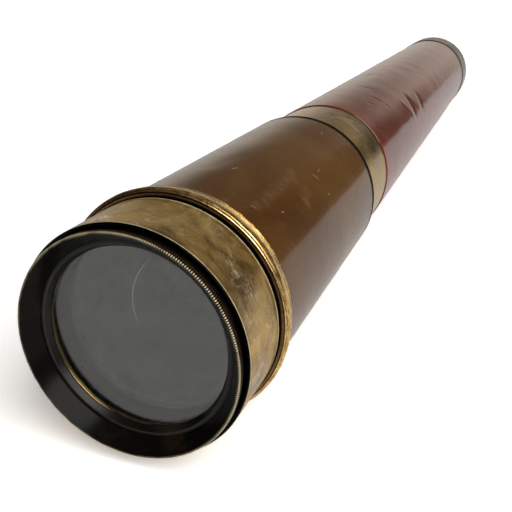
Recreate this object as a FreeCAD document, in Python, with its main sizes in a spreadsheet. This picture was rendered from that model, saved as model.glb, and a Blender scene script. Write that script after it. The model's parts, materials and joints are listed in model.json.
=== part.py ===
import FreeCAD, Part
import Sketcher
import os
import re
from math import cos, sin, tau

# A single-draw hand telescope with a sliding sunshade, built as turned and drawn pieces on one
# optical axis. Each piece is drawn in its own frame: X runs back along the axis from the front
# rim, and the radius is measured from the axis. The model then lies along X with the objective
# towards +X, resting on the sunshade's reeded flange, with +Z up.

doc = FreeCAD.newDocument("Telescope")
sheet = doc.addObject("Spreadsheet::Sheet", "Sizes")

# Driving dimensions in millimetres. Names ending in front or back are distances behind the
# front rim; names ending in radius are measured from the optical axis.
SIZES = {
    # whole telescope
    "overall_length": 615.6,
    "running_gap": 0.05,
    # objective cell
    "rim_edge": 0.4,
    "rim_back": 1.9,
    "rim_radius": 31.8,
    "mouth_radius": 31.1,
    "cell_radius": 31.2,
    "cell_seat_back": 9.0,
    "cell_back": 22.0,
    "cell_thread_radius": 29.2,
    "funnel_back": 4.6,
    "lip_radius": 25.6,
    "ring_thread_radius": 27.9,
    "ring_front": 4.9,
    "ring_bevel_radius": 27.0,
    "ring_land": 0.4,
    # objective lenses
    "lens_front": 6.8,
    "lens_radius": 27.2,
    "lens_clearance": 0.05,
    "glass_radius": 25.9,
    "crown_edge": 3.0,
    "crown_front_curve": 300.0,
    "crown_back_curve": 260.0,
    "spacer_width": 0.8,
    "spacer_thick": 0.25,
    "flint_back": 14.6,
    # barrel
    "mount_back": 24.0,
    "tube_front": 12.0,
    "tube_back": 562.0,
    "tube_radius": 30.4,
    "tube_wall": 0.8,
    "bearing_radius": 31.1,
    "stop_front": 32.0,
    "stop_back": 52.0,
    "band_back": 185.0,
    "cover_back": 539.0,
    "cover_radius": 31.5,
    "ferrule_back": 573.0,
    "ferrule_radius": 31.9,
    "ferrule_edge": 0.8,
    "ferrule_bore": 27.5,
    "bush_front": 512.0,
    "baffle_thick": 1.5,
    "front_baffle_front": 90.0,
    "front_baffle_radius": 24.0,
    "rear_baffle_front": 160.0,
    "rear_baffle_radius": 21.0,
    # sunshade
    "shade_front": 3.3,
    "shade_radius": 33.0,
    "shade_bore": 32.2,
    "collar_edge": 0.3,
    "groove_front": 24.8,
    "groove_radius": 32.6,
    "flange_front": 26.1,
    "flange_back": 34.5,
    "flange_radius": 35.2,
    "flange_edge": 0.3,
    "reed_pitch": 2.1,
    "reed_valley": 0.6,
    "reed_depth": 0.5,
    "shade_tube_front": 28.0,
    "shade_tube_back": 146.1,
    "guide_front": 135.1,
    "guide_back": 147.6,
    # draw tube
    "draw_front": 196.0,
    "draw_back": 577.0,
    "draw_radius": 27.0,
    "draw_wall": 0.7,
    "draw_stop_front": 200.0,
    "draw_stop_back": 211.5,
    "draw_stop_radius": 29.4,
    "draw_flange_front": 573.4,
    "draw_flange_back": 579.4,
    "draw_flange_radius": 29.5,
    "draw_flange_edge": 0.6,
    # erecting lenses inside the draw tube
    "erector_front": 215.0,
    "erector_back": 500.0,
    "erector_radius": 14.0,
    "erector_bore": 13.0,
    "carrier_length": 6.0,
    "front_carrier_front": 216.0,
    "rear_carrier_front": 490.0,
    "relay_thick": 4.0,
    "relay_curve": 60.0,
    "front_relay_front": 218.0,
    "rear_relay_front": 480.0,
    "relay_stop_front": 345.0,
    "relay_stop_radius": 3.0,
    "stop_thick": 1.5,
    # eyepiece
    "eyepiece_front": 530.0,
    "eyepiece_back": 600.0,
    "eyepiece_radius": 20.0,
    "eyepiece_bore": 19.0,
    "field_lens_front": 534.0,
    "field_lens_thick": 7.0,
    "field_lens_curve": 45.0,
    "field_stop_front": 566.0,
    "field_stop_radius": 8.0,
    "eye_lens_thick": 4.5,
    "eye_lens_curve": 22.0,
    "eye_lens_radius": 10.0,
    "cap_front": 597.0,
    "cap_plate_front": 609.0,
    "cap_back": 612.0,
    "cap_radius": 22.0,
    "cap_edge": 1.0,
    "eye_hole_radius": 4.5,
    "eye_bevel_radius": 6.5,
    # dust shutter on the eyepiece cap
    "shutter_gap": 0.1,
    "shutter_thick": 1.0,
    "shutter_radius": 7.8,
    "shutter_lug_radius": 3.6,
    "pivot_offset": 14.0,
    "pivot_radius": 1.2,
    "pivot_clearance": 0.07,
    "pivot_head_radius": 2.6,
    "pivot_head_thick": 1.2,
    "pivot_head_gap": 0.05,
    "knob_drop": 5.2,
    "knob_radius": 1.3,
    "knob_head_radius": 1.9,
    "knob_height": 2.5,
    "knob_head_thick": 1.1,
}

pieces = []


def fill_sheet():
    for row, (alias, value) in enumerate(SIZES.items(), start=1):
        sheet.set(f"A{row}", alias)
        sheet.set(f"B{row}", str(value))
        sheet.setAlias(f"B{row}", alias)
    doc.recompute()


def bound(text):
    """An expression on the sheet's cells, from one that names them without the sheet."""
    return re.sub(r"\b([a-z]\w*)\b(?!\()", r"Sizes.\1", text)


def bulge(curve, radius):
    """How far a lens surface of this curve stands out within this radius."""
    return f"({curve} - sqrt({curve} * {curve} - {radius} * {radius}))"


def lay_down(piece):
    """Turn a finished piece from its own frame to the model's, and keep it for writing."""
    piece.Placement = FreeCAD.Placement(FreeCAD.Vector(), FreeCAD.Rotation(FreeCAD.Vector(0, 0, 1), 180))
    piece.setExpression("Placement.Base.x", bound("overall_length / 2"))
    piece.setExpression("Placement.Base.z", bound("flange_radius"))
    pieces.append(piece)
    return piece


def origin_plane(body, role):
    return next(item for item in body.Origin.OriginFeatures if item.Role == role)


def add_sketch(body, name, role):
    sketch = body.newObject("Sketcher::SketchObject", name)
    sketch.AttachmentSupport = [(origin_plane(body, role), "")]
    sketch.MapMode = "FlatFace"
    return sketch


def outline(sketch, corners):
    """Closed outline of straight edges, each corner held by two cells' worth of dimensions."""
    count = len(corners)
    rough = [FreeCAD.Vector(50 + 20 * cos(-tau * i / count), 50 + 20 * sin(-tau * i / count), 0)
             for i in range(count)]
    for i in range(count):
        sketch.addGeometry(Part.LineSegment(rough[i], rough[(i + 1) % count]), False)
    for i in range(count):
        sketch.addConstraint(Sketcher.Constraint("Coincident", i, 2, (i + 1) % count, 1))
    for i, (along, radius) in enumerate(corners):
        across = sketch.addConstraint(Sketcher.Constraint("DistanceX", -1, 1, i, 1, rough[i].x))
        upward = sketch.addConstraint(Sketcher.Constraint("DistanceY", -1, 1, i, 1, rough[i].y))
        sketch.setExpression(f"Constraints[{across}]", bound(along))
        sketch.setExpression(f"Constraints[{upward}]", bound(radius))


def turned(label, corners):
    """A piece turned in a lathe: its half section, swept round the optical axis."""
    body = doc.addObject("PartDesign::Body", label)
    sketch = add_sketch(body, label + "_section", "XY_Plane")
    outline(sketch, corners)
    turn = body.newObject("PartDesign::Revolution", label + "_turn")
    turn.Profile = sketch
    turn.ReferenceAxis = (sketch, ["H_Axis"])
    turn.Angle = 360
    sketch.Visibility = False
    return lay_down(body)


def ring(label, front, back, bore, radius):
    """A plain ring or tube."""
    return turned(label, [(front, bore), (front, radius), (back, radius), (back, bore)])


def disc(name, front, length, radius, offset="0"):
    """A cylinder along the axis, or beside it by offset upwards."""
    solid = doc.addObject("Part::Cylinder", name)
    solid.Placement = FreeCAD.Placement(FreeCAD.Vector(), FreeCAD.Rotation(FreeCAD.Vector(0, 1, 0), 90))
    solid.setExpression("Radius", bound(radius))
    solid.setExpression("Height", bound(length))
    solid.setExpression("Placement.Base.x", bound(front))
    solid.setExpression("Placement.Base.z", bound(offset))
    return solid


def ball(name, centre, radius):
    """The sphere that a lens surface is ground to."""
    solid = doc.addObject("Part::Sphere", name)
    solid.setExpression("Radius", bound(radius))
    solid.setExpression("Placement.Base.x", bound(centre))
    return solid


def combine(kind, label, base, tool):
    joined = doc.addObject("Part::" + kind, label)
    joined.Base = base
    joined.Tool = tool
    return joined


def objective_cell():
    turned("objective_cell", [
        ("0", "mouth_radius"),
        ("0", "rim_radius - rim_edge"),
        ("rim_edge", "rim_radius"),
        ("rim_back", "rim_radius"),
        ("rim_back", "cell_radius"),
        ("cell_seat_back", "cell_radius"),
        ("cell_seat_back", "cell_thread_radius"),
        ("cell_back", "cell_thread_radius"),
        ("cell_back", "lip_radius"),
        ("flint_back", "lip_radius"),
        ("flint_back", "lens_radius + lens_clearance"),
        ("lens_front", "lens_radius + lens_clearance"),
        ("lens_front", "ring_thread_radius"),
        ("funnel_back", "ring_thread_radius"),
    ])


def lens_retaining_ring():
    turned("lens_retaining_ring", [
        ("ring_front", "ring_thread_radius"),
        ("ring_front", "ring_bevel_radius"),
        ("lens_front - ring_land", "glass_radius"),
        ("lens_front", "glass_radius"),
        ("lens_front", "ring_thread_radius"),
    ])


def crown_lens():
    """The front surface meets the retaining ring's bore, and the rear one the spacer's."""
    front_bulge = bulge("crown_front_curve", "glass_radius")
    back_bulge = bulge("crown_back_curve", "(lens_radius - spacer_width)")
    blank = disc("crown_blank", f"lens_front - {front_bulge}",
                 f"crown_edge + {front_bulge} + {back_bulge}", "lens_radius")
    face = ball("crown_face", f"lens_front - {front_bulge} + crown_front_curve", "crown_front_curve")
    rear = ball("crown_rear", f"lens_front + crown_edge + {back_bulge} - crown_back_curve", "crown_back_curve")
    lay_down(combine("Common", "crown_lens", combine("Common", "crown_ground", blank, face), rear))


def lens_spacer():
    ring("lens_spacer", "lens_front + crown_edge", "lens_front + crown_edge + spacer_thick",
         "lens_radius - spacer_width", "lens_radius")


def flint_lens():
    """Hollow in front to the crown's rear curve, and flat behind."""
    back_bulge = bulge("crown_back_curve", "(lens_radius - spacer_width)")
    blank = disc("flint_blank", "lens_front + crown_edge + spacer_thick",
                 "flint_back - lens_front - crown_edge - spacer_thick", "lens_radius")
    hollow = ball("flint_hollow",
                  f"lens_front + crown_edge + spacer_thick + {back_bulge} - crown_back_curve",
                  "crown_back_curve")
    lay_down(combine("Cut", "flint_lens", blank, hollow))


def cell_mount_ring():
    turned("cell_mount_ring", [
        ("cell_seat_back", "cell_thread_radius"),
        ("cell_seat_back", "bearing_radius"),
        ("tube_front", "bearing_radius"),
        ("tube_front", "tube_radius - tube_wall"),
        ("mount_back", "tube_radius - tube_wall"),
        ("mount_back", "cell_thread_radius"),
    ])


def barrel():
    ring("body_tube", "tube_front", "tube_back", "tube_radius - tube_wall", "tube_radius")
    ring("shade_bearing_tube", "tube_front", "band_back", "tube_radius", "bearing_radius")
    ring("shade_stop_ring", "stop_front", "stop_back", "bearing_radius", "shade_bore - running_gap")
    ring("barrel_cover", "band_back", "cover_back", "tube_radius", "cover_radius")
    ring("front_baffle", "front_baffle_front", "front_baffle_front + baffle_thick",
         "front_baffle_radius", "tube_radius - tube_wall")
    ring("rear_baffle", "rear_baffle_front", "rear_baffle_front + baffle_thick",
         "rear_baffle_radius", "tube_radius - tube_wall")
    ring("draw_guide_bush", "bush_front", "tube_back",
         "draw_radius + running_gap", "tube_radius - tube_wall")


def rear_ferrule():
    turned("rear_ferrule", [
        ("cover_back", "tube_radius"),
        ("cover_back", "ferrule_radius - ferrule_edge / 2"),
        ("cover_back + ferrule_edge / 2", "ferrule_radius"),
        ("ferrule_back - ferrule_edge", "ferrule_radius"),
        ("ferrule_back", "ferrule_radius - ferrule_edge"),
        ("ferrule_back", "ferrule_bore"),
        ("tube_back", "ferrule_bore"),
        ("tube_back", "tube_radius"),
    ])


def reeds(count):
    """Corners of the flange's raised reeds, with a valley between each two."""
    corners = []
    for i in range(count):
        start = f"flange_front + {i} * reed_pitch"
        if i:
            corners.append((start, "flange_radius - reed_depth"))
        corners.append((f"{start} + flange_edge", "flange_radius"))
        corners.append((f"{start} + reed_pitch - reed_valley - flange_edge", "flange_radius"))
        corners.append((f"{start} + reed_pitch - reed_valley", "flange_radius - reed_depth"))
    return corners


def sunshade():
    turned("sunshade_front_ring", [
        ("shade_front", "shade_bore"),
        ("shade_front", "shade_radius - collar_edge"),
        ("shade_front + collar_edge", "shade_radius"),
        ("groove_front", "shade_radius"),
        ("groove_front", "groove_radius"),
        ("flange_front", "groove_radius"),
        ("flange_front", "flange_radius - reed_depth"),
        *reeds(4),
        ("flange_back", "flange_radius - reed_depth"),
        ("flange_back", "shade_radius"),
        ("shade_tube_front", "shade_radius"),
        ("shade_tube_front", "shade_bore"),
    ])
    ring("sunshade_tube", "shade_tube_front", "shade_tube_back", "shade_bore", "shade_radius")
    turned("sunshade_rear_ring", [
        ("guide_front", "bearing_radius + running_gap"),
        ("guide_front", "shade_bore"),
        ("shade_tube_back", "shade_bore"),
        ("shade_tube_back", "shade_radius"),
        ("guide_back", "shade_radius"),
        ("guide_back", "bearing_radius + running_gap"),
    ])


def draw():
    ring("draw_tube", "draw_front", "draw_back", "draw_radius - draw_wall", "draw_radius")
    ring("draw_stop_ring", "draw_stop_front", "draw_stop_back", "draw_radius", "draw_stop_radius")
    turned("draw_end_flange", [
        ("draw_flange_front", "draw_radius"),
        ("draw_flange_front", "draw_flange_radius - draw_flange_edge"),
        ("draw_flange_front + draw_flange_edge", "draw_flange_radius"),
        ("draw_flange_back - draw_flange_edge", "draw_flange_radius"),
        ("draw_flange_back", "draw_flange_radius - draw_flange_edge"),
        ("draw_flange_back", "eyepiece_radius"),
        ("draw_back", "eyepiece_radius"),
        ("draw_back", "draw_radius"),
    ])


def erector():
    ring("erector_tube", "erector_front", "erector_back", "erector_bore", "erector_radius")
    for end in ("front", "rear"):
        ring(f"erector_{end}_carrier", f"{end}_carrier_front", f"{end}_carrier_front + carrier_length",
             "erector_radius", "draw_radius - draw_wall")
    ring("erector_stop", "relay_stop_front", "relay_stop_front + stop_thick",
         "relay_stop_radius", "erector_bore")
    relay_lens("erector_front_lens", "front_relay_front", "relay_thick - relay_curve")
    relay_lens("erector_rear_lens", "rear_relay_front", "relay_curve")


def relay_lens(label, front, centre):
    """A plano-convex lens that fills the erector tube."""
    blank = disc(label + "_blank", front, "relay_thick", "erector_bore")
    face = ball(label + "_face", f"{front} + {centre}", "relay_curve")
    lay_down(combine("Common", label, blank, face))


def eyepiece():
    ring("eyepiece_tube", "eyepiece_front", "eyepiece_back", "eyepiece_bore", "eyepiece_radius")
    ring("field_stop", "field_stop_front", "field_stop_front + stop_thick",
         "field_stop_radius", "eyepiece_bore")
    field = disc("field_blank", "field_lens_front", "field_lens_thick", "eyepiece_bore")
    field_face = ball("field_face", "field_lens_front + field_lens_curve", "field_lens_curve")
    lay_down(combine("Common", "field_lens", field, field_face))
    eye = disc("eye_blank", "cap_plate_front - eye_lens_thick", "eye_lens_thick", "eye_lens_radius")
    eye_face = ball("eye_face", "cap_plate_front - eye_lens_thick + eye_lens_curve", "eye_lens_curve")
    lay_down(combine("Common", "eye_lens", eye, eye_face))


def eye_cap():
    cap = turned("eye_cap", [
        ("cap_front", "eyepiece_radius"),
        ("cap_front", "cap_radius - cap_edge"),
        ("cap_front + cap_edge", "cap_radius"),
        ("cap_back - cap_edge", "cap_radius"),
        ("cap_back", "cap_radius - cap_edge"),
        ("cap_back", "eye_bevel_radius"),
        ("cap_plate_front + (cap_back - cap_plate_front) / 2", "eye_hole_radius"),
        ("cap_plate_front", "eye_hole_radius"),
        ("cap_plate_front", "eye_lens_radius"),
        ("eyepiece_back", "eye_lens_radius"),
        ("eyepiece_back", "eyepiece_radius"),
    ])
    doc.recompute()
    solid_volume = cap.Shape.Volume
    sketch = add_sketch(cap, "pivot_hole_circle", "YZ_Plane")
    hole_circle(sketch)
    hole = cap.newObject("PartDesign::Pocket", "pivot_hole")
    hole.Profile = sketch
    hole.Type = "ThroughAll"
    hole.Reversed = True
    sketch.Visibility = False
    doc.recompute()
    if cap.Shape.Volume >= solid_volume:
        raise RuntimeError("the pivot hole cuts nothing")


def hole_circle(sketch):
    """The pivot screw's hole, straight above the axis."""
    centre = FreeCAD.Vector(0, SIZES["pivot_offset"], 0)
    radius = SIZES["pivot_radius"]
    circle = sketch.addGeometry(Part.Circle(centre, FreeCAD.Vector(0, 0, 1), radius), False)
    sketch.addConstraint(Sketcher.Constraint("PointOnObject", circle, 3, -2))
    offset = sketch.addConstraint(Sketcher.Constraint("DistanceY", -1, 1, circle, 3, centre.y))
    size = sketch.addConstraint(Sketcher.Constraint("Radius", circle, radius))
    sketch.setExpression(f"Constraints[{offset}]", bound("pivot_offset"))
    sketch.setExpression(f"Constraints[{size}]", bound("pivot_radius"))


def shutter():
    front = "cap_back + shutter_gap"
    blade = disc("shutter_blade", front, "shutter_thick", "shutter_radius")
    lug = disc("shutter_lug", front, "shutter_thick", "shutter_lug_radius", "pivot_offset")
    neck = doc.addObject("Part::Box", "shutter_neck")
    neck.setExpression("Length", bound("shutter_thick"))
    neck.setExpression("Width", bound("2 * shutter_lug_radius"))
    neck.setExpression("Height", bound("pivot_offset"))
    neck.setExpression("Placement.Base.x", bound(front))
    neck.setExpression("Placement.Base.y", bound("-shutter_lug_radius"))
    arm = combine("Fuse", "shutter_arm", combine("Fuse", "shutter_outline", blade, neck), lug)
    eye = disc("shutter_eye", front, "shutter_thick", "pivot_radius + pivot_clearance", "pivot_offset")
    lay_down(combine("Cut", "eye_shutter", arm, eye))

    shank = disc("pivot_shank", "eyepiece_back",
                 "cap_back - eyepiece_back + shutter_gap + shutter_thick + pivot_head_gap",
                 "pivot_radius", "pivot_offset")
    head = disc("pivot_head", "cap_back + shutter_gap + shutter_thick + pivot_head_gap",
                "pivot_head_thick", "pivot_head_radius", "pivot_offset")
    lay_down(combine("Fuse", "shutter_pivot_screw", shank, head))

    stem = disc("knob_stem", "cap_back + shutter_gap + shutter_thick", "knob_height",
                "knob_radius", "-knob_drop")
    button = disc("knob_button", "cap_back + shutter_gap + shutter_thick + knob_height - knob_head_thick",
                  "knob_head_thick", "knob_head_radius", "-knob_drop")
    lay_down(combine("Fuse", "shutter_knob", stem, button))


def check_model():
    failed = [item.Name for item in doc.Objects if {"Invalid", "Error"} & set(item.State)]
    if failed:
        raise RuntimeError("failed to build: " + ", ".join(failed))
    for piece in pieces:
        if piece.Shape.isNull() or not piece.Shape.isValid():
            raise RuntimeError(f"{piece.Label} has no valid shape")


def write_parts():
    os.makedirs("parts", exist_ok=True)
    for piece in pieces:
        piece.Shape.exportStep(f"parts/{piece.Label}.step")


fill_sheet()
objective_cell()
lens_retaining_ring()
crown_lens()
lens_spacer()
flint_lens()
cell_mount_ring()
barrel()
rear_ferrule()
sunshade()
draw()
erector()
eyepiece()
eye_cap()
shutter()
doc.recompute()
check_model()
write_parts()
for piece in pieces:
    print(f"{piece.Label}: {piece.Shape.Volume:.0f} mm3, {len(piece.Shape.Solids)} solid")
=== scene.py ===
import json
import math
import bmesh
import bpy
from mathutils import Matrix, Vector, noise


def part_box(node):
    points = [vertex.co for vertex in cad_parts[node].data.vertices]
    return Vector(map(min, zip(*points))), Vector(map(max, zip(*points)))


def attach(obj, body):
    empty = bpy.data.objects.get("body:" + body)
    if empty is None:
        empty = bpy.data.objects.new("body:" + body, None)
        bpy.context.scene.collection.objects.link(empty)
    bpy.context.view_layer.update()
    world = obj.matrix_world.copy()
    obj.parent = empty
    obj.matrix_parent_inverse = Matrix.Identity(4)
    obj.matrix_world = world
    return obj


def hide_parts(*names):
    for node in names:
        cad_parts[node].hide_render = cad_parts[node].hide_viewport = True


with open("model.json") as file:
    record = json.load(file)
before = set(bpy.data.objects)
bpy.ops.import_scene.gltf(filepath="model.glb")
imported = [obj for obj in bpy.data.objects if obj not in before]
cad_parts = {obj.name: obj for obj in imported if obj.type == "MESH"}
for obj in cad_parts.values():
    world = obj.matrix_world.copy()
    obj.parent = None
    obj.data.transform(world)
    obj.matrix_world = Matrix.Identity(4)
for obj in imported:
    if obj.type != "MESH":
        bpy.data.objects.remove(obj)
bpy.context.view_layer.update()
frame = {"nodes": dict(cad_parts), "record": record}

scene = bpy.context.scene
mm = 0.001

# where things are: the optical axis runs along X, and "distance" is counted back from the front rim

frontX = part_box("objective_cell")[1].x
axisZ = (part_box("sunshade_tube")[0].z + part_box("sunshade_tube")[1].z) / 2
bodyOf = {node: body for body, nodes in frame["record"]["behaviour"]["bodies"].items() for node in nodes}
slotOf = {part["node"]: part["material_slot"] for part in frame["record"]["subparts"]}


def ends(node):
    # distance to a node's front and back, and its radius, in millimetres
    low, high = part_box(node)
    return (frontX - high.x) / mm, (frontX - low.x) / mm, (high.y - low.y) / 2 / mm


print("frame read: front rim at", round(frontX, 4), "axis height", round(axisZ, 4))


# shader helpers

class Wire:
    # one socket's output; arithmetic on it adds Math nodes
    def __init__(self, paint, socket):
        self.paint = paint
        self.socket = socket

    def math(self, operation, *values):
        return self.paint.add("Math", {"operation": operation}, dict(enumerate(values)))

    def __add__(self, other):
        return self.math("ADD", self, other)

    def __sub__(self, other):
        return self.math("SUBTRACT", self, other)

    def __rsub__(self, other):
        return self.math("SUBTRACT", other, self)

    def __mul__(self, other):
        return self.math("MULTIPLY", self, other)

    def __truediv__(self, other):
        return self.math("DIVIDE", self, other)

    def __rtruediv__(self, other):
        return self.math("DIVIDE", other, self)

    def __pow__(self, other):
        return self.math("POWER", self, other)

    def __abs__(self):
        return self.math("ABSOLUTE", self)

    __radd__ = __add__
    __rmul__ = __mul__


class Paint:
    # a material or a world under construction
    def __init__(self, name, library=None):
        self.owner = (bpy.data.materials if library is None else library).new(name)
        self.owner.use_nodes = True
        self.tree = self.owner.node_tree
        self.tree.nodes.clear()

    def add(self, kind, settings=None, inputs=None, output=0):
        node = self.tree.nodes.new("ShaderNode" + kind)
        for key, value in (settings or {}).items():
            if key == "stops":
                self.setStops(node, value)
            else:
                setattr(node, key, value)
        for key, value in (inputs or {}).items():
            if isinstance(value, Wire):
                self.tree.links.new(value.socket, node.inputs[key])
            else:
                node.inputs[key].default_value = value
        return Wire(self, node.outputs[output]) if len(node.outputs) else None

    def setStops(self, node, stops):
        elements = node.color_ramp.elements
        while len(elements) < len(stops):
            elements.new(0.5)
        for element, (place, value) in zip(elements, stops):
            element.position = place
            element.color = (value, value, value, 1) if isinstance(value, (int, float)) else (*value, 1)

    def blend(self, factor, first, second, mode="MIX"):
        first, second = (v if isinstance(v, Wire) else (*v, 1) for v in (first, second))
        return self.add("Mix", {"data_type": "RGBA", "blend_type": mode}, {0: factor, 6: first, 7: second}, 2)

    def ramp(self, value, *stops):
        return self.add("ValToRGB", {"stops": stops}, {0: value})

    def rise(self, value, low, high):
        # 0 at low, 1 at high, smooth between
        span = {0: value, 1: low, 2: high, 3: 0.0, 4: 1.0}
        return self.add("MapRange", {"interpolation_type": "SMOOTHSTEP"}, span)

    def zone(self, value, low, high, soft):
        return self.rise(value, low - soft, low + soft) * self.rise(value, high + soft, high - soft)

    def noise(self, vector, scale, detail=4, roughness=0.6, distortion=0.0):
        values = {"Vector": vector, "Scale": scale, "Detail": detail, "Roughness": roughness}
        values["Distortion"] = distortion
        return self.add("TexNoise", {"noise_dimensions": "3D"}, values)

    def split(self, vector):
        first = self.add("SeparateXYZ", inputs={0: vector})
        return [Wire(self, socket) for socket in first.socket.node.outputs]

    def onTube(self, radius):
        # self.point is the place itself, self.flat the tube unrolled in millimetres at that radius
        self.point = self.add("TexCoord", output="Object")
        x, y, z = self.split(self.point)
        up = z - axisZ
        self.s = (frontX - x) / mm
        self.angle = x.math("ARCTAN2", y, up)
        self.r = (y * y + up * up) ** 0.5 / mm
        self.flat = self.add("CombineXYZ", inputs={0: self.s, 1: self.angle * radius, 2: self.r})
        self.radius = radius

    def hairlines(self, across, turn, width, seed):
        # fine scratches: a stretched noise passes its middle value only along narrow streaks
        turned = self.add("Mapping", {"vector_type": "POINT"}, {
            "Vector": self.flat, "Scale": (across, across * 0.04, 1), "Rotation": (0, 0, turn)})
        streaks = self.noise(turned, 1, 2, 0.5, 0.6 + seed)
        patches = self.ramp(self.noise(self.point, 60 + 13 * seed, 2), (0.5, 0), (0.62, 1))
        return self.rise(abs(streaks - 0.5), width, 0.0) * patches

    def streaks(self, along, round, detail=4):
        # noise drawn out round the tube or along it, in features per millimetre
        stretch = {"Vector": self.flat, "Scale": (along, round, 1)}
        drawn = self.add("Mapping", {"vector_type": "POINT"}, stretch)
        return self.noise(drawn, 1, detail, 0.6)

    def stroke(self, wobble, mark, core):
        # one drawn mark: distance and degrees from the top at both ends, then its width
        startS, startTurn, endS, endTurn, width = mark
        start = Vector((startS, math.radians(startTurn) * self.radius, self.radius))
        run = Vector((endS, math.radians(endTurn) * self.radius, self.radius)) - start
        offset = self.add("VectorMath", {"operation": "SUBTRACT"}, {0: wobble, 1: start})
        share = run / run.length_squared
        reach = self.add("VectorMath", {"operation": "DOT_PRODUCT"}, {0: offset, 1: share}, 1)
        held = self.add("Clamp", inputs={0: reach})
        along = self.add("VectorMath", {"operation": "SCALE"}, {0: run, 3: held})
        away = self.add("VectorMath", {"operation": "DISTANCE"}, {0: offset, 1: along}, 1)
        return self.rise(away, width, width * core)

    def strokes(self, marks, wander=0.6, size=420, core=0.15):
        bend = self.add("TexNoise", {"noise_dimensions": "3D"}, {"Vector": self.point, "Scale": size}, 1)
        bend = self.add("VectorMath", {"operation": "SUBTRACT"}, {0: bend, 1: (0.5, 0.5, 0.5)})
        bend = self.add("VectorMath", {"operation": "MULTIPLY"}, {0: bend, 1: (wander, wander, 0)})
        flat = self.add("VectorMath", {"operation": "MULTIPLY"}, {0: self.flat, 1: (1, 1, 0)})
        flat = self.add("VectorMath", {"operation": "ADD"}, {0: flat, 1: (0, 0, self.radius)})
        wobble = self.add("VectorMath", {"operation": "ADD"}, {0: flat, 1: bend})
        total = self.stroke(wobble, marks[0], core)
        for mark in marks[1:]:
            total = total.math("MAXIMUM", total, self.stroke(wobble, mark, core))
        return total

    def finish(self, bsdf, bump=None, height=0.1, strength=0.6):
        if bump is not None:
            relief = {"Height": bump, "Distance": height * mm, "Strength": strength}
            bsdf["Normal"] = self.add("Bump", inputs=relief)
        shader = self.add("BsdfPrincipled", inputs=bsdf)
        self.add("OutputMaterial", inputs={"Surface": shader})
        return self.owner


# turned shapes

def rounded(corners, steps=4):
    # a closed outline from (distance, radius, fillet) corners
    points = []
    count = len(corners)
    for i, (s, r, fillet) in enumerate(corners):
        here = Vector((s, r))
        before = Vector(corners[i - 1][:2]) - here
        after = Vector(corners[(i + 1) % count][:2]) - here
        if not fillet:
            points.append(here)
            continue
        start = here + before.normalized() * min(fillet, before.length * 0.49)
        end = here + after.normalized() * min(fillet, after.length * 0.49)
        for k in range(steps + 1):
            t = k / steps
            points.append(start * (1 - t) ** 2 + here * 2 * t * (1 - t) + end * t * t)
    return [(p.x, p.y) for p in points]


def between(low, high, steps):
    return [low + (high - low) * k / steps for k in range(steps + 1)]


def settle(name, node, build, finish, sharp):
    bmesh.ops.recalc_face_normals(build, faces=build.faces)
    mesh = bpy.data.meshes.new(name)
    build.to_mesh(mesh)
    build.free()
    for polygon in mesh.polygons:
        polygon.use_smooth = True
    mesh.set_sharp_from_angle(angle=math.radians(sharp))
    mesh.materials.append(finish)
    piece = bpy.data.objects.new(name, mesh)
    scene.collection.objects.link(piece)
    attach(piece, bodyOf[node])
    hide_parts(node)
    return piece


def addTurned(build, outline, segments, shift=None, centre=(0, 0)):
    # turns a closed outline round the optical axis, or round a centre given as (y, z) from it
    rings = []
    for k in range(segments):
        angle = math.tau * k / segments
        ring = []
        for s, r in outline:
            out = shift(s, angle, r) if shift else r
            y = centre[0] + out * math.sin(angle)
            z = centre[1] + out * math.cos(angle)
            ring.append(build.verts.new((frontX - s * mm, y * mm, axisZ + z * mm)))
        rings.append(ring)
    for k in range(segments):
        here, there = rings[k], rings[(k + 1) % segments]
        for i in range(len(outline)):
            j = (i + 1) % len(outline)
            build.faces.new((here[i], here[j], there[j], there[i]))


def addPrism(build, outlineAt, layers):
    # stacks outlines of (y, z) points; each layer is (distance, how far the outline is drawn in)
    rings = []
    for s, inset in layers:
        x = frontX - s * mm
        rings.append([build.verts.new((x, y * mm, axisZ + z * mm)) for y, z in outlineAt(inset)])
    for here, there in zip(rings, rings[1:]):
        for i in range(len(here)):
            j = (i + 1) % len(here)
            build.faces.new((here[i], here[j], there[j], there[i]))
    build.faces.new(rings[0])
    build.faces.new(rings[-1])


def spin(name, node, outline, finish, segments=256, shift=None, sharp=35):
    build = bmesh.new()
    addTurned(build, outline, segments, shift)
    return settle(name, node, build, finish, sharp)


def milled(look):
    # cuts straight teeth into whatever lies outside look["above"]
    def shift(s, angle, r):
        if r < look["above"] or not look["start"] < s < look["stop"]:
            return r
        return r - look["depth"] * (0.5 + 0.5 * math.cos(angle * look["teeth"]))
    return shift


def toothRows(look, radius):
    # rows close by both ends of the teeth, so that they end square
    start, stop, beside = look["start"], look["stop"], 0.05
    places = (start - beside, start + beside, (start + stop) / 2, stop - beside, stop + beside)
    return [(s, radius, 0) for s in places]


def uneven(outer, marks, ripple, wave):
    # marks: distance and degrees at both ends, width, height outwards; ripple is a gentle unevenness
    drawn = []
    for startS, startTurn, endS, endTurn, width, height in marks:
        start = Vector((startS, math.radians(startTurn) * outer))
        run = Vector((endS, math.radians(endTurn) * outer)) - start
        drawn.append((start, run, width, height))

    def shift(s, angle, r):
        if r < outer - 0.01:
            return r
        turn = math.atan2(math.sin(angle), math.cos(angle))
        spot = Vector((s, turn * outer))
        out = r + ripple * noise.noise(Vector((s, outer * math.sin(angle), outer * math.cos(angle))) / wave)
        for start, run, width, height in drawn:
            offset = spot - start
            if abs(offset.x) > abs(run.x) + 4 * width:
                continue
            t = min(1, max(0, offset.dot(run) / max(run.length_squared, 0.01)))
            away = (offset - run * t).length / width
            if away < 3:
                out += height * math.exp(-away * away)
        return out
    return shift


# milled cell round the objective, black with the teeth rubbed to brass

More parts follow.
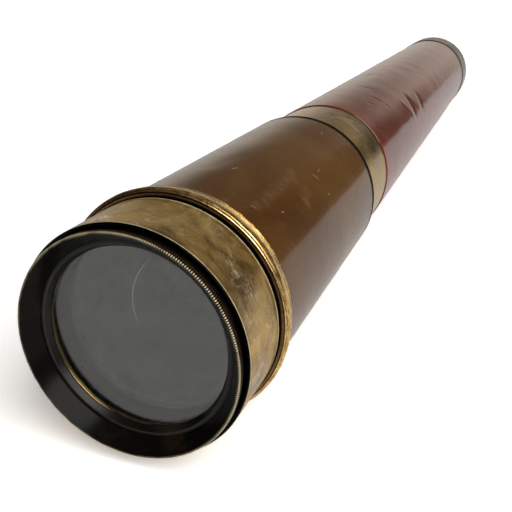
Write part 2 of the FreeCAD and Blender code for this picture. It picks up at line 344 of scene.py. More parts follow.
cell = dict(
    teeth=300, depth=0.20, start=0.04, stop=1.55, above=31.5,
    mouth=31.1, rimBack=1.9, body=31.2, bodyBack=9.0, stem=29.2, stopBore=25.6, stopFront=14.6,
    lensBore=27.25, lensFront=6.8, ringBore=27.9, ringFront=4.6,
    black=(0.004, 0.0038, 0.0032), dust=(0.026, 0.014, 0.006), gold=(1.0, 0.86, 0.55),
    valley=(0.008, 0.005, 0.003), brown=(0.075, 0.038, 0.016), gloss=0.20, shine=0.08, edgeWear=0.30)


def paintCell(look):
    paint = Paint("cell_black")
    paint.onTube(31)
    dust = paint.ramp(paint.noise(paint.point, 70, 5, 0.65), (0.50, 0), (0.80, 1))
    colour = paint.blend(dust, look["black"], look["dust"])
    patchy = paint.ramp(paint.noise(paint.point, 240, 4, 0.7), (0.36, 0.1), (0.60, 1))
    foot, mouth = look["above"], look["mouth"]
    onRim = paint.zone(paint.s, -0.1, look["stop"] + 0.07, 0.04)
    onRim = onRim * paint.rise(paint.r, foot - 0.14, foot - 0.06)
    colour = paint.blend(onRim, colour, look["valley"])
    tooth = (paint.angle * look["teeth"]).math("COSINE", paint.angle * look["teeth"])
    crest = paint.rise(tooth, 0.2, -0.5) * paint.ramp(patchy, (0.0, 0.45), (0.7, 1))
    corner = onRim * paint.rise(paint.s, 0.52, 0.26) * crest
    side = onRim * paint.rise(paint.s, 0.5, 0.9) * crest
    colour = paint.blend(side * 0.8, colour, look["brown"])
    line = paint.zone(paint.r, mouth + 0.02, mouth + 0.14, 0.05) * paint.rise(paint.s, 0.3, 0.1)
    line = line * patchy * look["edgeWear"]
    wear = corner.math("MAXIMUM", corner, line)
    colour = paint.blend(wear, colour, look["gold"])
    roughness = look["gloss"] + dust * 0.2 + wear * 0.1
    return paint.finish({"Base Color": colour, "Metallic": wear * 0.45, "Roughness": roughness,
                         "Specular IOR Level": look["shine"]},
                        paint.noise(paint.point, 700, 3), 0.03, 0.3)


def makeCell(look):
    front, end, rim = ends("objective_cell")
    back, body, bodyBack, stem = (look[key] for key in ("rimBack", "body", "bodyBack", "stem"))
    outline = rounded([
        (front, look["mouth"], 0.1), (front, rim - 0.26, 0.08), (front + 0.14, rim, 0.06),
        (0.5, rim, 0), (0.9, rim, 0), (1.3, rim, 0), (back - 0.40, rim, 0),
        (back - 0.30, rim - 0.14, 0), (back - 0.22, rim - 0.02, 0.05), (back, rim - 0.05, 0.1),
        (back, body, 0.1), (bodyBack, body, 0.1), (bodyBack, stem, 0), (end, stem, 0.2),
        (end, look["stopBore"], 0.2), (look["stopFront"], look["stopBore"], 0),
        (look["stopFront"], look["lensBore"], 0), (look["lensFront"], look["lensBore"], 0),
        (look["lensFront"], look["ringBore"], 0), (look["ringFront"], look["ringBore"], 0.15)], 3)
    spin("objectiveCell", "objective_cell", outline, paintCell(look), look["teeth"] * 4, milled(look))


# plain black pieces, with thin lines of brass where the lacquer has worn off an edge

black = dict(
    deep=(0.004, 0.004, 0.0035), dusty=(0.022, 0.018, 0.012), wear=(0.42, 0.31, 0.15),
    roughness=0.30, gloss=0.5)


def paintBlack(name, look, wornRadii=(), reach=0.16):
    paint = Paint(name)
    paint.onTube(30)
    dust = paint.ramp(paint.noise(paint.point, 70, 5, 0.65), (0.45, 0), (0.75, 1))
    colour = paint.blend(dust, look["deep"], look["dusty"])
    patchy = paint.ramp(paint.noise(paint.point, 260, 4, 0.7), (0.38, 0.15), (0.62, 1))
    metallic = 0.0
    for worn in wornRadii:
        band = paint.rise(abs(paint.r - worn), reach, reach * 0.25) * patchy
        colour = paint.blend(band, colour, look["wear"])
        metallic = band * 0.9 + metallic
    roughness = look["roughness"] + dust * 0.2
    return paint.finish({"Base Color": colour, "Metallic": metallic, "Roughness": roughness,
                         "Specular IOR Level": look["gloss"]}, paint.noise(paint.point, 700, 3), 0.04, 0.4)


# sunshade: brass collar with a moulding behind it, brown lacquered tube, black rear ring

shadeBore = 32.2
collar = dict(
    light=(0.57, 0.375, 0.125), middle=(0.38, 0.235, 0.068), dark=(0.15, 0.080, 0.021),
    pale=(0.86, 0.74, 0.48), black=(0.004, 0.003, 0.002), gold=(0.98, 0.70, 0.25),
    amber=(0.36, 0.19, 0.045), valley=(0.10, 0.035, 0.008), wall=(0.060, 0.014, 0.006),
    glint=(1.0, 0.84, 0.66), blotch=66, metal=0.60, roughness=0.40,
    # distances from the front rim: end of the black nose, lip, front wall of the moulding, its grooves
    noseTo=0.45, lip=24.8, wallAt=26.1, grooves=(29.9, 31.1, 32.0, 32.9), grooveFloor=32.6,
    # the moulding's front: how far behind the wall, how far below the crest, and the fillet
    shoulder=((0, 1.45, 0.1), (0.25, 0.95, 0.1), (0.5, 0.7, 0.05), (0.7, 0.72, 0.05), (0.9, 0.3, 0.2),
              (1.6, 0, 0.4), (2.7, 0.1, 0.6)),
    fall=1.3, fallOver=4.8)


def paintCollar(look):
    paint = Paint("brass_collar")
    paint.onTube(33)
    front, _, crest = ends("sunshade_front_ring")
    noseTo, lipAt, wallAt = front + look["noseTo"], look["lip"], look["wallAt"]
    clouds = paint.noise(paint.point, look["blotch"], 7, 0.68, 0.5)
    colour = paint.ramp(clouds, (0.36, look["dark"]), (0.48, look["middle"]), (0.62, look["light"]))
    fine = paint.noise(paint.point, 420, 5, 0.72, 0.4)
    colour = paint.blend(paint.ramp(fine, (0.56, 0), (0.70, 0.5)), colour, look["dark"])
    scuffs = paint.hairlines(2.2, 0.6, 0.020, 0) + paint.hairlines(1.7, -0.9, 0.016, 1)
    patches = paint.ramp(paint.noise(paint.point, 120, 6, 0.78, 0.8), (0.54, 0), (0.66, 0.95))
    pale = scuffs.math("MAXIMUM", scuffs, patches) * paint.ramp(fine, (0.36, 0.2), (0.55, 1))
    colour = paint.blend(pale, colour, look["pale"])
    # painted shade: darker bands just in front of the lip and just behind the front edge
    shade = paint.zone(paint.s, lipAt - 2.2, lipAt - 0.8, 0.7)
    shade = shade.math("MAXIMUM", shade, paint.rise(paint.s, front + 2.6, front + 1.0))
    colour = paint.blend(shade * paint.ramp(clouds, (0.40, 0.7), (0.60, 0.2)), colour, look["dark"])

    # the moulding: a front wall painted dark as shade, a painted highlight on its corner, then brass with
    # fine grooves towards the back
    onMoulding = paint.rise(paint.s, wallAt - 0.1, wallAt + 0.1)
    worn = paint.ramp(paint.streaks(2.2, 0.35, 6), (0.38, 0), (0.60, 1))
    brass = paint.blend(worn * paint.ramp(fine, (0.40, 0.35), (0.56, 1)), look["amber"], look["gold"])
    # painted shade: each fine groove is drawn darker
    for place in look["grooves"]:
        cut = paint.zone(paint.s, place - 0.10, place + 0.10, 0.14)
        brass = paint.blend(cut * 0.85, brass, look["valley"])
    # painted highlight: a bright line on the moulding's front corner; painted shade in the small step behind
    # it
    corner = paint.zone(paint.s, wallAt + 0.32, wallAt + 0.48, 0.08)
    step = paint.zone(paint.s, wallAt + 0.58, wallAt + 0.76, 0.10)
    # painted reflection: the moulding is darker on its upper left side, standing in for the dark room it
    # mirrors there
    paintedDarkSide = paint.rise(paint.angle, 0.15, -0.45)
    # painted shade: the moulding's front wall is dark red-brown
    onWall = paint.rise(paint.r, crest - 0.78, crest - 1.08) * paint.rise(paint.s, wallAt + 1.1, wallAt + 0.9)
    brass = paint.blend(corner * 0.4, brass, look["glint"])
    brass = paint.blend(step * 0.8, brass, look["valley"])
    brass = paint.blend(paintedDarkSide * 0.75, brass, look["valley"])
    brass = paint.blend(onWall, brass, look["wall"])
    colour = paint.blend(onMoulding, colour, brass)

    # the nose is black; the groove between the lip and the moulding is painted black as shade
    nose = paint.rise(paint.s, noseTo + 0.08, noseTo - 0.08)
    groove = paint.zone(paint.s, lipAt + 0.02, wallAt + 0.4, 0.05)
    groove = groove * paint.rise(paint.r, crest - 1.3, crest - 2.2)
    dark = nose.math("MAXIMUM", nose, groove)
    # pale lines on the nose's edge and on the lip: worn edges, with painted highlights on them
    line = paint.zone(paint.s, noseTo + 0.05, noseTo + 0.38, 0.08)
    lip = paint.zone(paint.s, lipAt - 0.55, lipAt, 0.08)
    shine = line.math("MAXIMUM", line, lip) * paint.ramp(fine, (0.35, 0.5), (0.55, 1))
    colour = paint.blend(shine, colour, look["pale"])
    colour = paint.blend(dark, colour, look["black"])
    metallic = dark.math("MAXIMUM", dark, look["metal"] - shine * 0.4 + onMoulding * 0.3)
    roughness = look["roughness"] + (clouds - 0.5) * 0.5 + (fine - 0.5) * 0.3 - onMoulding * 0.12
    height = clouds * 0.8 + fine * 0.5 - pale * 0.3
    surface = {"Base Color": colour, "Metallic": metallic, "Roughness": roughness}
    return paint.finish(surface, height, 0.10, 0.5)


brownLacquer = dict(
    deep=(0.078, 0.028, 0.004), light=(0.125, 0.055, 0.011), rubbed=(0.22, 0.13, 0.058),
    scratch=(0.60, 0.48, 0.30), black=(0.004, 0.003, 0.002), blackFrom=144.0,
    cloud=24, roughness=0.50, coat=0.62, coatRoughness=0.13,
    smears=[(45, 36, 78, 35, 3.4), (79, 34, 83, 31, 2.6), (73, 51, 78, 47, 4.2), (32, 24, 37, 23, 1.6)],
    hairs=[(91.6, 42, 93, 46.5, 0.17), (61, 9, 63.0, 11, 0.20), (131, 25, 132.5, 24.4, 0.24),
           (92.5, 57, 93.1, 57.4, 0.30), (54, 46, 54.6, 46.4, 0.30), (43, 33, 43.6, 36, 0.11),
           (97, 43, 99.5, 42, 0.11)],
    dents=[(76, 49, 76.5, 49, 2.6, -0.10), (81, 33, 82, 32, 1.5, -0.06),
           (60, -2, 75, 4, 3.0, -0.05), (100, -12, 118, -8, 4.0, -0.06)],
    ripple=0.05, wave=16)


def paintBrown(look):
    paint = Paint("brown_lacquer")
    paint.onTube(33)
    clouds = paint.noise(paint.point, look["cloud"], 5, 0.55, 0.6)
    colour = paint.ramp(clouds, (0.34, look["deep"]), (0.66, look["light"]))
    grain = paint.noise(paint.point, 260, 4, 0.6)
    colour = paint.blend(paint.ramp(grain, (0.50, 0), (0.80, 0.16)), colour, look["rubbed"])
    smears = paint.strokes(look["smears"], 1.6, 130, 0.0) * paint.ramp(grain, (0.35, 0.1), (0.60, 1))
    colour = paint.blend(smears * 0.35, colour, look["rubbed"])
    lines = paint.hairlines(1.1, 0.75, 0.006, 0) + paint.hairlines(0.8, 0.2, 0.005, 2)
    specks = paint.ramp(paint.noise(paint.point, 520, 2, 0.5), (0.76, 0), (0.79, 1))
    marks = paint.strokes(look["hairs"])
    pale = marks.math("MAXIMUM", marks * 0.8, lines * 0.20 + specks * 0.5)
    colour = paint.blend(pale, colour, look["scratch"])
    end = paint.rise(paint.s, look["blackFrom"], look["blackFrom"] + 0.3)
    colour = paint.blend(end, colour, look["black"])
    coat = (1 - pale * 0.6) * (1 - end) * look["coat"]
    height = paint.noise(paint.point, 120, 3, 0.5) + specks * 0.3 - lines * 0.2 + marks * 0.5
    roughness = look["roughness"] + (grain - 0.5) * 0.3
    return paint.finish({"Base Color": colour, "Specular IOR Level": 0.06, "Roughness": roughness,
                         "Coat Weight": coat, "Coat IOR": 1.5, "Coat Roughness": look["coatRoughness"]},
                        height, 0.05, 0.35)


def mouldingOutline(look, crest):
    # the front shoulder, then brass that falls away towards the back between the grooves
    wallAt, lines = look["wallAt"], look["grooves"]
    fallFrom, below = wallAt + look["shoulder"][-1][0], look["shoulder"][-1][1]

    def taper(s):
        return crest - below - look["fall"] * ((s - fallFrom) / look["fallOver"]) ** 1.2
    outline = [(wallAt + behind, crest - under, fillet) for behind, under, fillet in look["shoulder"]]
    for at, following in zip(lines, lines[1:] + (lines[-1] + 0.7,)):
        land = (at + following) / 2
        outline += [(at - 0.16, taper(at), 0.05), (at, taper(at) - 0.22, 0.03), (at + 0.16, taper(at), 0.05)]
        outline.append((land, taper(land) + 0.06, 0.2))
    return outline


def knocks(s, angle, r):
    # the moulding has lost a little here and there
    if r < 34:
        return r
    spot = Vector((s * 0.5, r * math.sin(angle), r * math.cos(angle))) / 5
    return r - 0.16 * max(0, noise.noise(spot) + 0.05)


def makeSunshade(look, lacquer):
    start, end, crest = ends("sunshade_front_ring")
    tubeFront, tubeBack, tubeRadius = ends("sunshade_tube")
    lip, wallAt, floor = look["lip"], look["wallAt"], look["grooveFloor"]
    outline = [(start, shadeBore, 0.1), (start, tubeRadius - 0.3, 0.1), (start + 0.35, tubeRadius, 0.2)]
    outline += [(s, tubeRadius, 0) for s in between(5, 24, 19)]
    outline += [(lip, tubeRadius, 0.12), (lip, floor, 0.1), (wallAt, floor, 0.1)]
    outline += mouldingOutline(look, crest)
    behind = end - 0.8
    outline += [(behind, tubeRadius + 0.25, 0.1), (behind + 0.1, tubeRadius + 0.02, 0)]
    outline += [(end, tubeRadius + 0.02, 0), (end, tubeRadius, 0), (tubeFront, tubeRadius, 0)]
    outline += [(tubeFront, shadeBore, 0)]
    spin("sunshadeFrontRing", "sunshade_front_ring", rounded(outline), paintCollar(look), 512, knocks)

    outside = [(s, tubeRadius) for s in between(tubeFront, tubeBack, 150)]
    outline = outside + [(tubeBack, shadeBore), (tubeFront, shadeBore)]
    spin("sunshadeTube", "sunshade_tube", outline, paintBrown(lacquer), 360,
         uneven(tubeRadius, lacquer["dents"], lacquer["ripple"], lacquer["wave"]))

    start, back, radius = ends("sunshade_rear_ring")
    bore = ends("shade_bearing_tube")[2] + 0.06
    outline = rounded([(start, bore, 0), (start, shadeBore, 0), (tubeBack, shadeBore, 0),
                       (tubeBack, radius, 0), (back, radius, 0.1), (back, bore, 0.1)])
    matt = dict(black, dusty=(0.005, 0.004, 0.003), gloss=0.0, roughness=0.7)
    spin("sunshadeRearRing", "sunshade_rear_ring", outline, paintBlack("shade_ring_black", matt))


# barrel: brass bearing tube, red leather, grey plated ferrule

band = dict(
    light=(0.52, 0.325, 0.052), middle=(0.34, 0.195, 0.028), dark=(0.15, 0.075, 0.012),
    pale=(0.84, 0.70, 0.42), blotch=42, metal=0.92, roughness=0.25,
    scuffs=[(172, 22, 170, 38, 2.6), (166, 16, 176, 30, 1.4), (154, 40, 170, 44, 0.5), (160, 2, 180, 8, 0.5)])


def paintBrass(name, look, radius):
    paint = Paint(name)
    paint.onTube(radius)
    clouds = paint.noise(paint.point, look["blotch"], 6, 0.62, 0.4)
    colour = paint.ramp(clouds, (0.32, look["dark"]), (0.48, look["middle"]), (0.64, look["light"]))
    fine = paint.noise(paint.point, 500, 4, 0.7)
    colour = paint.blend(paint.ramp(fine, (0.58, 0), (0.70, 0.6)), colour, look["dark"])
    lines = paint.hairlines(1.6, 0.5, 0.010, 0) + paint.hairlines(1.2, -0.9, 0.008, 1)
    if look.get("scuffs"):
        lines = lines + paint.strokes(look["scuffs"], 2.2, 260) * paint.ramp(fine, (0.35, 0.1), (0.55, 0.9))
    colour = paint.blend(lines * 0.7, colour, look["pale"])
    roughness = look["roughness"] + (clouds - 0.5) * 0.4 + lines * 0.1
    return paint.finish({"Base Color": colour, "Metallic": look["metal"], "Roughness": roughness},
                        clouds * 0.6 + fine * 0.3 - lines * 0.2, 0.08, 0.5)


redLeather = dict(
    deep=(0.080, 0.0090, 0.0012), light=(0.150, 0.0205, 0.0034), rubbed=(0.25, 0.075, 0.035),
    darkTone=(0.020, 0.005, 0.003), cloud=30, roughness=0.50, coat=0.70, coatRoughness=0.14,
    creases=[(266, 49, 274, 69, 3.0, 0.12), (288, 48, 296, 61, 2.8, 0.06),
             (281, 50, 280.5, 64, 3.6, -0.16), (308, 56, 306, 66, 3.8, -0.17),
             (232, 24, 233.5, 33, 0.8, -0.12), (218, 27.5, 219, 29, 1.0, -0.10),
             (235, 38.6, 236, 39.4, 1.0, -0.10), (210, 32, 219, 34, 0.7, -0.07),
             (294, -10, 300, -1.5, 1.0, -0.12), (295, 6, 295.5, 10, 0.9, -0.10),
             (247, 6, 249, 16, 0.9, -0.10), (352, 33, 359, 40, 1.0, -0.12),
             (375, 50, 376, 59, 1.0, -0.07), (357, 50, 357.5, 59, 1.0, -0.07),
             (405, 58.5, 412, 67.5, 1.2, -0.08), (330, 20, 345, 24, 4.0, -0.06),
             (240, 60, 262, 66, 3.5, 0.05), (420, 30, 440, 46, 5.0, -0.06)],
    darkStrokes=[(282, 44, 280, 64, 2.2), (308, 53, 306, 66, 2.0), (232, 24, 233.5, 33, 0.7),
            (218, 27.5, 219, 29, 0.8), (235, 38.6, 236, 39.4, 0.8), (294, -10, 300, -1.5, 0.7),
            (190, 60, 200, 43, 0.8), (197, 50, 206, 56, 0.5)],
    ripple=0.07, wave=17)


def paintRed(look):
    paint = Paint("red_leather")
    paint.onTube(31.5)
    clouds = paint.noise(paint.point, look["cloud"], 5, 0.6, 0.5)
    colour = paint.ramp(clouds, (0.34, look["deep"]), (0.64, look["light"]))
    rub = paint.ramp(paint.noise(paint.point, 100, 5, 0.72, 0.6), (0.56, 0), (0.70, 0.7))
    colour = paint.blend(rub, colour, look["rubbed"])
    # dark strokes, most of them along the hollow creases, so the creases come out darker
    darkTone = paint.strokes(look["darkStrokes"], 1.4, 240)
    flecks = paint.ramp(paint.noise(paint.point, 240, 4, 0.7, 1.0), (0.64, 0), (0.72, 0.6))
    colour = paint.blend(darkTone.math("MAXIMUM", darkTone * 0.75, flecks), colour, look["darkTone"])
    grain = paint.add("TexVoronoi", {"feature": "DISTANCE_TO_EDGE"}, {"Vector": paint.point, "Scale": 900.0})
    roughness = look["roughness"] + rub * 0.15
    coat = (1 - rub * 0.3 - darkTone * 0.5) * look["coat"]
    height = paint.ramp(grain, (0.0, 0), (0.25, 1)) * 0.2 + paint.noise(paint.point, 150, 4, 0.6) * 1.1
    return paint.finish({"Base Color": colour, "Roughness": roughness, "Specular IOR Level": 0.08,
                         "Coat Weight": coat, "Coat IOR": 1.5, "Coat Roughness": look["coatRoughness"]},
                        height, 0.10, 0.4)


plate = dict(light=(0.55, 0.52, 0.47), dark=(0.17, 0.15, 0.13), darkTone=(0.02, 0.014, 0.01), roughness=0.34)
rings = dict(ferruleBore=27.5, stopBore=31.1, mountBore=29.2, tubeBore=29.6)


def paintPlate(look):
    paint = Paint("grey_plate")
    paint.onTube(32)
    clouds = paint.noise(paint.point, 80, 5, 0.6)
    colour = paint.ramp(clouds, (0.34, look["dark"]), (0.62, look["light"]))
    front = ends("rear_ferrule")[0]
    seam = paint.rise(paint.s, front + 2.2, front + 0.8)
    colour = paint.blend(seam, colour, look["darkTone"])
    lines = paint.hairlines(1.2, 1.3, 0.010, 1)
    roughness = look["roughness"] + clouds * 0.2 - lines * 0.1
    return paint.finish({"Base Color": colour, "Metallic": 0.8, "Roughness": roughness}, clouds, 0.08, 0.4)


def makeBarrel(look, leather):
    start, end, radius = ends("shade_bearing_tube")
    tubeFront, tubeBack, inner = ends("body_tube")
    tube = [(start, inner)] + [(s, radius) for s in between(start, end, 60)] + [(end, inner)]
    spin("shadeBearingTube", "shade_bearing_tube", tube, paintBrass("brass_band", band, radius))

    start, end, radius = ends("barrel_cover")
    # the rows are closest together where the deepest creases are
    rows = between(start + 0.4, 226, 40) + between(227, 312, 100)
    rows += between(314, 416, 60) + between(418, end - 0.4, 60)
    outside = [(start, radius - 0.35)] + [(s, radius) for s in rows] + [(end, radius - 0.35)]
    spin("barrelCover", "barrel_cover", outside + [(end, inner), (start, inner)], paintRed(leather), 360,
         uneven(radius, leather["creases"], leather["ripple"], leather["wave"]))

    start, end, radius = ends("rear_ferrule")
    bore = look["ferruleBore"]
    outline = rounded([(start, inner, 0), (start, radius - 0.25, 0.2), (start + 0.4, radius, 0.2),
                       (end - 0.6, radius, 0.6), (end, radius - 0.7, 0.4), (end, bore, 0.2),
                       (tubeBack, bore, 0), (tubeBack, inner, 0)])
    spin("rearFerrule", "rear_ferrule", outline, paintPlate(plate))

    stopBlack = paintBlack("stop_black", black)
    start, end, radius = ends("shade_stop_ring")
    bore = look["stopBore"]
    outline = rounded([(start, bore, 0), (start, radius, 0.3), (end, radius, 0.3), (end, bore, 0)])
    spin("shadeStopRing", "shade_stop_ring", outline, stopBlack)
    start, end, radius = ends("cell_mount_ring")
    bore, step = look["mountBore"], look["tubeBore"]
    outline = rounded([(start, bore, 0), (start, radius, 0.2), (tubeFront, radius, 0),
                       (tubeFront, step, 0), (end, step, 0), (end, bore, 0)])
    spin("cellMountRing", "cell_mount_ring", outline, stopBlack)


# objective: two lenses and the ring that holds them

lens = dict(
    clear=(0.95, 0.96, 0.94), roughness=0.012, paintedReflection=(0.55, 0.55, 0.50), paintedReflectionRoughness=0.6, paintedReflectionGlow=0.26,
    crownIndex=1.42, flintIndex=1.46, insideIndex=1.52,
    crownEdges=(6.92, 9.72), hollow=1.42, ringShoulder=27.0, ringMouth=25.9,
    arcCentre=(15.8, 11.7), arcRadius=15.5, arcWidth=0.30, arcAmount=0.24)


def paintGlass(name, look, index, arc=False):
    paint = Paint(name)
    paint.onTube(27)
    smear = paint.ramp(paint.noise(paint.point, 60, 3, 0.5), (0.45, 0.0), (0.80, 0.02))
    glass = paint.add("BsdfPrincipled", inputs={
        "Base Color": (*look["clear"], 1), "Roughness": smear + look["roughness"],
        "Transmission Weight": 1.0, "IOR": index})
    # painted reflection: a pale arc on the front lens surface that glows a little, though nothing lights it
    if arc:
        paintedReflection = paint.add("BsdfPrincipled", inputs={
            "Base Color": (*look["paintedReflection"], 1), "Roughness": look["paintedReflectionRoughness"],
            "Emission Color": (*look["paintedReflection"], 1), "Emission Strength": look["paintedReflectionGlow"]})
        x, y, z = paint.split(paint.point)
        across = y / mm - look["arcCentre"][0]
        up = (z - axisZ) / mm - look["arcCentre"][1]
        away = abs((across * across + up * up) ** 0.5 - look["arcRadius"])
        turn = up.math("ARCTAN2", up, 0 - across)
        mask = paint.rise(away, look["arcWidth"], 0.0) * paint.zone(turn, -0.45, 0.8, 0.2)
        mask = mask * paint.rise(paint.s, 8.2, 8.0)
        glass = paint.add("MixShader", inputs={0: mask * look["arcAmount"], 1: glass, 2: paintedReflection})
    paint.add("OutputMaterial", inputs={"Surface": glass})
    return paint.owner


def dome(edge, bulge, reach, steps=40):
    # from the rim to the axis; a positive bulge comes towards the front
    ball = (reach * reach + bulge * bulge) / (2 * abs(bulge))
    points = []
    for r in between(reach, 0.02, steps):
        height = math.sqrt(ball * ball - r * r) - (ball - abs(bulge))
        points.append((edge - math.copysign(height, bulge), r))
    return points


def makeObjective(look):
    start, end, radius = ends("crown_lens")
    frontEdge, backEdge = look["crownEdges"]
    front = dome(frontEdge, frontEdge - start, radius)
    back = dome(backEdge, backEdge - end, radius)
    finish = paintGlass("crown_glass", look, look["crownIndex"], True)
    spin("crownLens", "crown_lens", front + back[::-1], finish)

    start, end, radius = ends("flint_lens")
    front = dome(start, -look["hollow"], radius)
    finish = paintGlass("flint_glass", look, look["flintIndex"])
    spin("flintLens", "flint_lens", front + [(end, 0.02), (end, radius)], finish)

    start, end, radius = ends("lens_retaining_ring")
    shoulder, mouth = look["ringShoulder"], look["ringMouth"]
    outline = rounded([(start, radius, 0.05), (start, shoulder, 0.12), (end - 0.4, mouth + 0.05, 0.1),
                       (end, mouth, 0), (end, radius, 0)], 3)
    dull = dict(black, wear=(0.11, 0.085, 0.05), gloss=0.25)
    finish = paintBlack("ring_black", dull, (shoulder,), 0.10)
    spin("lensRetainingRing", "lens_retaining_ring", outline, finish)


# draw tube and eyepiece, at the back

drawBrass = dict(
    light=(0.70, 0.52, 0.22), middle=(0.58, 0.41, 0.16), dark=(0.34, 0.22, 0.08),
    pale=(0.85, 0.70, 0.40), blotch=24, metal=0.95, roughness=0.24, drawWall=0.7, eyepieceBore=19.0)
endFlange = dict(teeth=300, depth=0.22, start=574.6, stop=578.2, above=29.3, bore=27.0, edge=0.6)


def makeDraw(look, flange):
    brass = paintBrass("draw_brass", look, 27)
    tubeFront, tubeBack, radius = ends("draw_tube")
    outside = [(s, radius) for s in between(tubeFront, tubeBack, 90)]
    inner = radius - look["drawWall"]
    spin("drawTube", "draw_tube", outside + [(tubeBack, inner), (tubeFront, inner)], brass)

    start, end, radius = ends("draw_end_flange")
    inner = ends("eyepiece_tube")[2]
    bore, edge = flange["bore"], flange["edge"]
    outline = [(start, bore, 0.05), (start, radius - edge, 0.15), (start + edge, radius, 0.2)]
    outline += toothRows(flange, radius)
    outline += [(end - edge, radius, 0.2), (end, radius - edge, 0.3), (end, inner, 0)]
    outline += [(tubeBack, inner, 0), (tubeBack, bore, 0)]
    spin("drawEndFlange", "draw_end_flange", rounded(outline), brass, flange["teeth"] * 4, milled(flange))

    start, end, radius = ends("eyepiece_tube")
    bore = look["eyepieceBore"]
    outline = rounded([(start, bore, 0), (start, radius, 0.1), (end, radius, 0), (end, bore, 0)])
    spin("eyepieceTube", "eyepiece_tube", outline, brass)


# the cap's recess fits round the eyepiece tube; a bevelled hole in its plate is what one looks through
eyeCap = dict(
    teeth=210, depth=0.24, start=599.0, stop=608.0, above=21.8, edge=1.0,
    recess=20.0, recessTo=600.0, chamber=10.0, plateAt=609.0, hole=4.5, holeTo=610.5, bevel=6.5,
    deep=(0.010, 0.009, 0.008), wornRadii=(21.95, 20.9, 6.5, 4.6))


def makeEyeCap(look):
    start, end, radius = ends("eye_cap")
    recess, recessTo, chamber, plateAt = (look[key] for key in ("recess", "recessTo", "chamber", "plateAt"))
    hole, holeTo, edge = look["hole"], look["holeTo"], look["edge"]
    outline = [(start, recess, 0), (start, radius - edge, 0.2), (start + edge, radius, 0.3)]
    outline += toothRows(look, radius)
    outline += [(end - edge, radius, 0.4), (end, radius - edge, 0.4), (end, look["bevel"], 0.2)]
    outline += [(holeTo, hole, 0.2), (plateAt, hole, 0), (plateAt, chamber, 0)]
    outline += [(recessTo, chamber, 0), (recessTo, recess, 0)]
    finish = paintBlack("cap_black", dict(black, deep=look["deep"]), look["wornRadii"], 0.2)
    spin("eyeCap", "eye_cap", rounded(outline), finish, look["teeth"] * 4, milled(look))


# swinging shutter over the eye hole: the blade covers the hole and a small lug turns on the pivot screw
shutter = dict(
    bevel=0.15, blade=7.8, lug=3.6, pivot=14.0, blotch=120, roughness=0.30,
    screwStem=1.2, headHeight=1.2, slotWidth=0.7, slotDepth=0.45,
    knobDrop=5.2, knobFoot=1.6, knobWaist=1.3, knobHead=1.1)


def hull(centre, lug, reach, inset):
    # outline round two discs, one on the axis and one straight above it
    big, small = centre - inset, lug - inset
    meet = math.pi / 2 - math.asin((big - small) / reach)
    points = []
    for turn in between(meet, math.tau - meet, 48):
        points.append((big * math.sin(turn), big * math.cos(turn)))
    for turn in between(-meet, meet, 32):
        points.append((small * math.sin(turn), reach + small * math.cos(turn)))
    return points


def makeShutter(look):
    shutterBrass = dict(drawBrass, blotch=look["blotch"], roughness=look["roughness"])
    brass = paintBrass("shutter_brass", shutterBrass, 22)
    start, end, _ = ends("eye_shutter")
    bevel = look["bevel"]
    build = bmesh.new()
    addPrism(build, lambda inset: hull(look["blade"], look["lug"], look["pivot"], inset),
             [(start, bevel), (start + bevel, 0), (end - bevel, 0), (end, bevel)])
    settle("eyeShutter", "eye_shutter", build, brass, 30)

    start, end, radius = ends("shutter_pivot_screw")
    stem, head, floor = look["screwStem"], end - look["headHeight"], end - look["slotDepth"]
    slot = look["slotWidth"] / 2

    def half(side):
        # one side of the slotted head
        def outlineAt(inset):
            edge = radius - inset
            near = math.asin((slot + inset * 0.5) / edge)
            turns = between(near, math.pi - near, 24)
            return [(side * edge * math.sin(turn), look["pivot"] + edge * math.cos(turn)) for turn in turns]
        return outlineAt
    build = bmesh.new()
    outline = [(start, 0.05), (start, stem), (head, stem), (head, radius), (floor, radius), (floor, 0.05)]
    addTurned(build, outline, 64, None, (0, look["pivot"]))
    for side in (-1, 1):
        addPrism(build, half(side), [(floor - 0.01, 0), (end - 0.2, 0), (end, 0.25)])
    settle("shutterPivotScrew", "shutter_pivot_screw", build, paintPlate(plate), 30)

    start, end, radius = ends("shutter_knob")
    foot, waist, head = look["knobFoot"], look["knobWaist"], end - look["knobHead"]
    outline = rounded([(start, 0.05, 0), (start, foot, 0.1), (start + 0.3, waist, 0.2), (head, waist, 0.2),
                       (head, radius, 0.25), (end, radius, 0.5), (end, 0.05, 0)])
    build = bmesh.new()
    addTurned(build, outline, 64, None, (0, -look["knobDrop"]))
    settle("shutterKnob", "shutter_knob", build, brass, 30)


makeCell(cell)
print("cell")
makeSunshade(collar, brownLacquer)
print("sunshade")
makeBarrel(rings, redLeather)
print("barrel")
makeObjective(lens)
print("objective")
makeDraw(drawBrass, endFlange)
makeEyeCap(eyeCap)
makeShutter(shutter)
print("draw tube and eyepiece")

# pieces that keep their solids, with a finish each

inside = dict(
    worn_brass=paintBrass("inner_brass", dict(drawBrass, roughness=0.4), 27),
    blackened_brass=paintBlack("inner_black", black), brown_lacquer=paintBlack("inner_brown", black),
    red_leather=paintBlack("inner_red", black), grey_plate=paintPlate(plate),
    optical_glass=paintGlass("inner_glass", lens, lens["insideIndex"]))
for name, node in frame["nodes"].items():
    node.data.materials.clear()
    node.data.materials.append(inside[slotOf[name]])


# floor, lights and camera

studio = dict(
    floor=0.80, floorSeen=1.35, floorLift=0.30, floorGlow=0.22, floorSize=4.0, floorFront=0.8,
    sun=2.7, sunSpread=50, sunFrom=(0.36, 0.60, 0.70), sunColour=(1.0, 0.985, 0.96),
    dark=(0.034, 0.029, 0.022), bright=(0.86, 0.79, 0.69), backdrop=1.4,
    openTo=0.12, shutFrom=0.25, lowTo=0.12, highFrom=0.36, highShare=0.08)


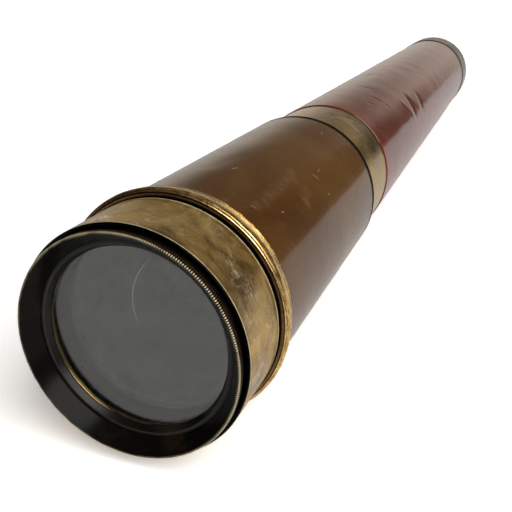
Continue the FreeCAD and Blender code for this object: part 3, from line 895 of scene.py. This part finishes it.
def makeStudio(look):
    flange = ends("sunshade_front_ring")
    ferrule = ends("rear_ferrule")
    tilt = math.atan2(flange[2] - ferrule[2], ferrule[1] - flange[1])
    bpy.ops.mesh.primitive_plane_add(size=look["floorSize"])
    floor = bpy.context.object
    floor.name = "floor"
    rest = frontX - flange[1] * mm
    ahead = frontX + look["floorFront"] - look["floorSize"] / 2
    floor.location = (ahead, 0, -0.0001 + (rest - ahead) * math.tan(tilt))
    floor.rotation_euler = (0, tilt, 0)
    paint = Paint("floor_white")
    plain = paint.add("BsdfDiffuse", inputs={"Color": (look["floor"],) * 3 + (1,)})
    glow = paint.add("Emission", inputs={"Strength": look["floorGlow"]})
    plain = paint.add("AddShader", inputs={0: plain, 1: glow})
    seen = paint.add("BsdfDiffuse", inputs={"Color": (look["floorSeen"],) * 3 + (1,)})
    lift = paint.add("Emission", inputs={"Strength": look["floorLift"]})
    seen = paint.add("AddShader", inputs={0: seen, 1: lift})
    camera = paint.add("LightPath", output="Is Camera Ray")
    both = paint.add("MixShader", inputs={0: camera, 1: plain, 2: seen})
    paint.add("OutputMaterial", inputs={"Surface": both})
    floor.data.materials.append(paint.owner)

    room = Paint("room", bpy.data.worlds)
    scene.world = room.owner
    x, y, z = room.split(room.add("TexCoord", output="Generated"))
    behind = room.rise(x, 0.0, -0.2)
    left = room.rise(y / (abs(x) + 0.001), look["shutFrom"], look["openTo"])
    low = room.rise(z, look["highFrom"], look["lowTo"]) * (1 - look["highShare"]) + look["highShare"]
    colour = room.blend(behind * left * low, look["dark"], look["bright"])
    seen = room.add("Background", inputs={"Color": colour})
    white = room.add("Background", inputs={"Color": (1, 1, 1, 1), "Strength": look["backdrop"]})
    camera = room.add("LightPath", output="Is Camera Ray")
    both = room.add("MixShader", inputs={0: camera, 1: seen, 2: white})
    room.add("OutputWorld", inputs={"Surface": both})

    light = bpy.data.lights.new("softSun", "SUN")
    light.energy = look["sun"]
    light.color = look["sunColour"]
    light.angle = math.radians(look["sunSpread"])
    lamp = bpy.data.objects.new("softSun", light)
    scene.collection.objects.link(lamp)
    lamp.rotation_euler = Vector(look["sunFrom"]).to_track_quat("Z", "Y").to_euler()


shot = dict(lens=49.92, ahead=0.1350, beside=0.0862, above=0.0885, down=21.80, heading=110.5)


def makeCamera(look):
    data = bpy.data.cameras.new("camera")
    data.lens = look["lens"]
    data.sensor_width = 36
    data.clip_start = 0.005
    camera = bpy.data.objects.new("camera", data)
    scene.collection.objects.link(camera)
    camera.location = (frontX + look["ahead"], look["beside"], axisZ + look["above"])
    camera.rotation_euler = (math.radians(90 - look["down"]), 0, math.radians(look["heading"]))
    scene.camera = camera


makeStudio(studio)
makeCamera(shot)
scene.view_settings.view_transform = "Standard"
print("studio and camera")
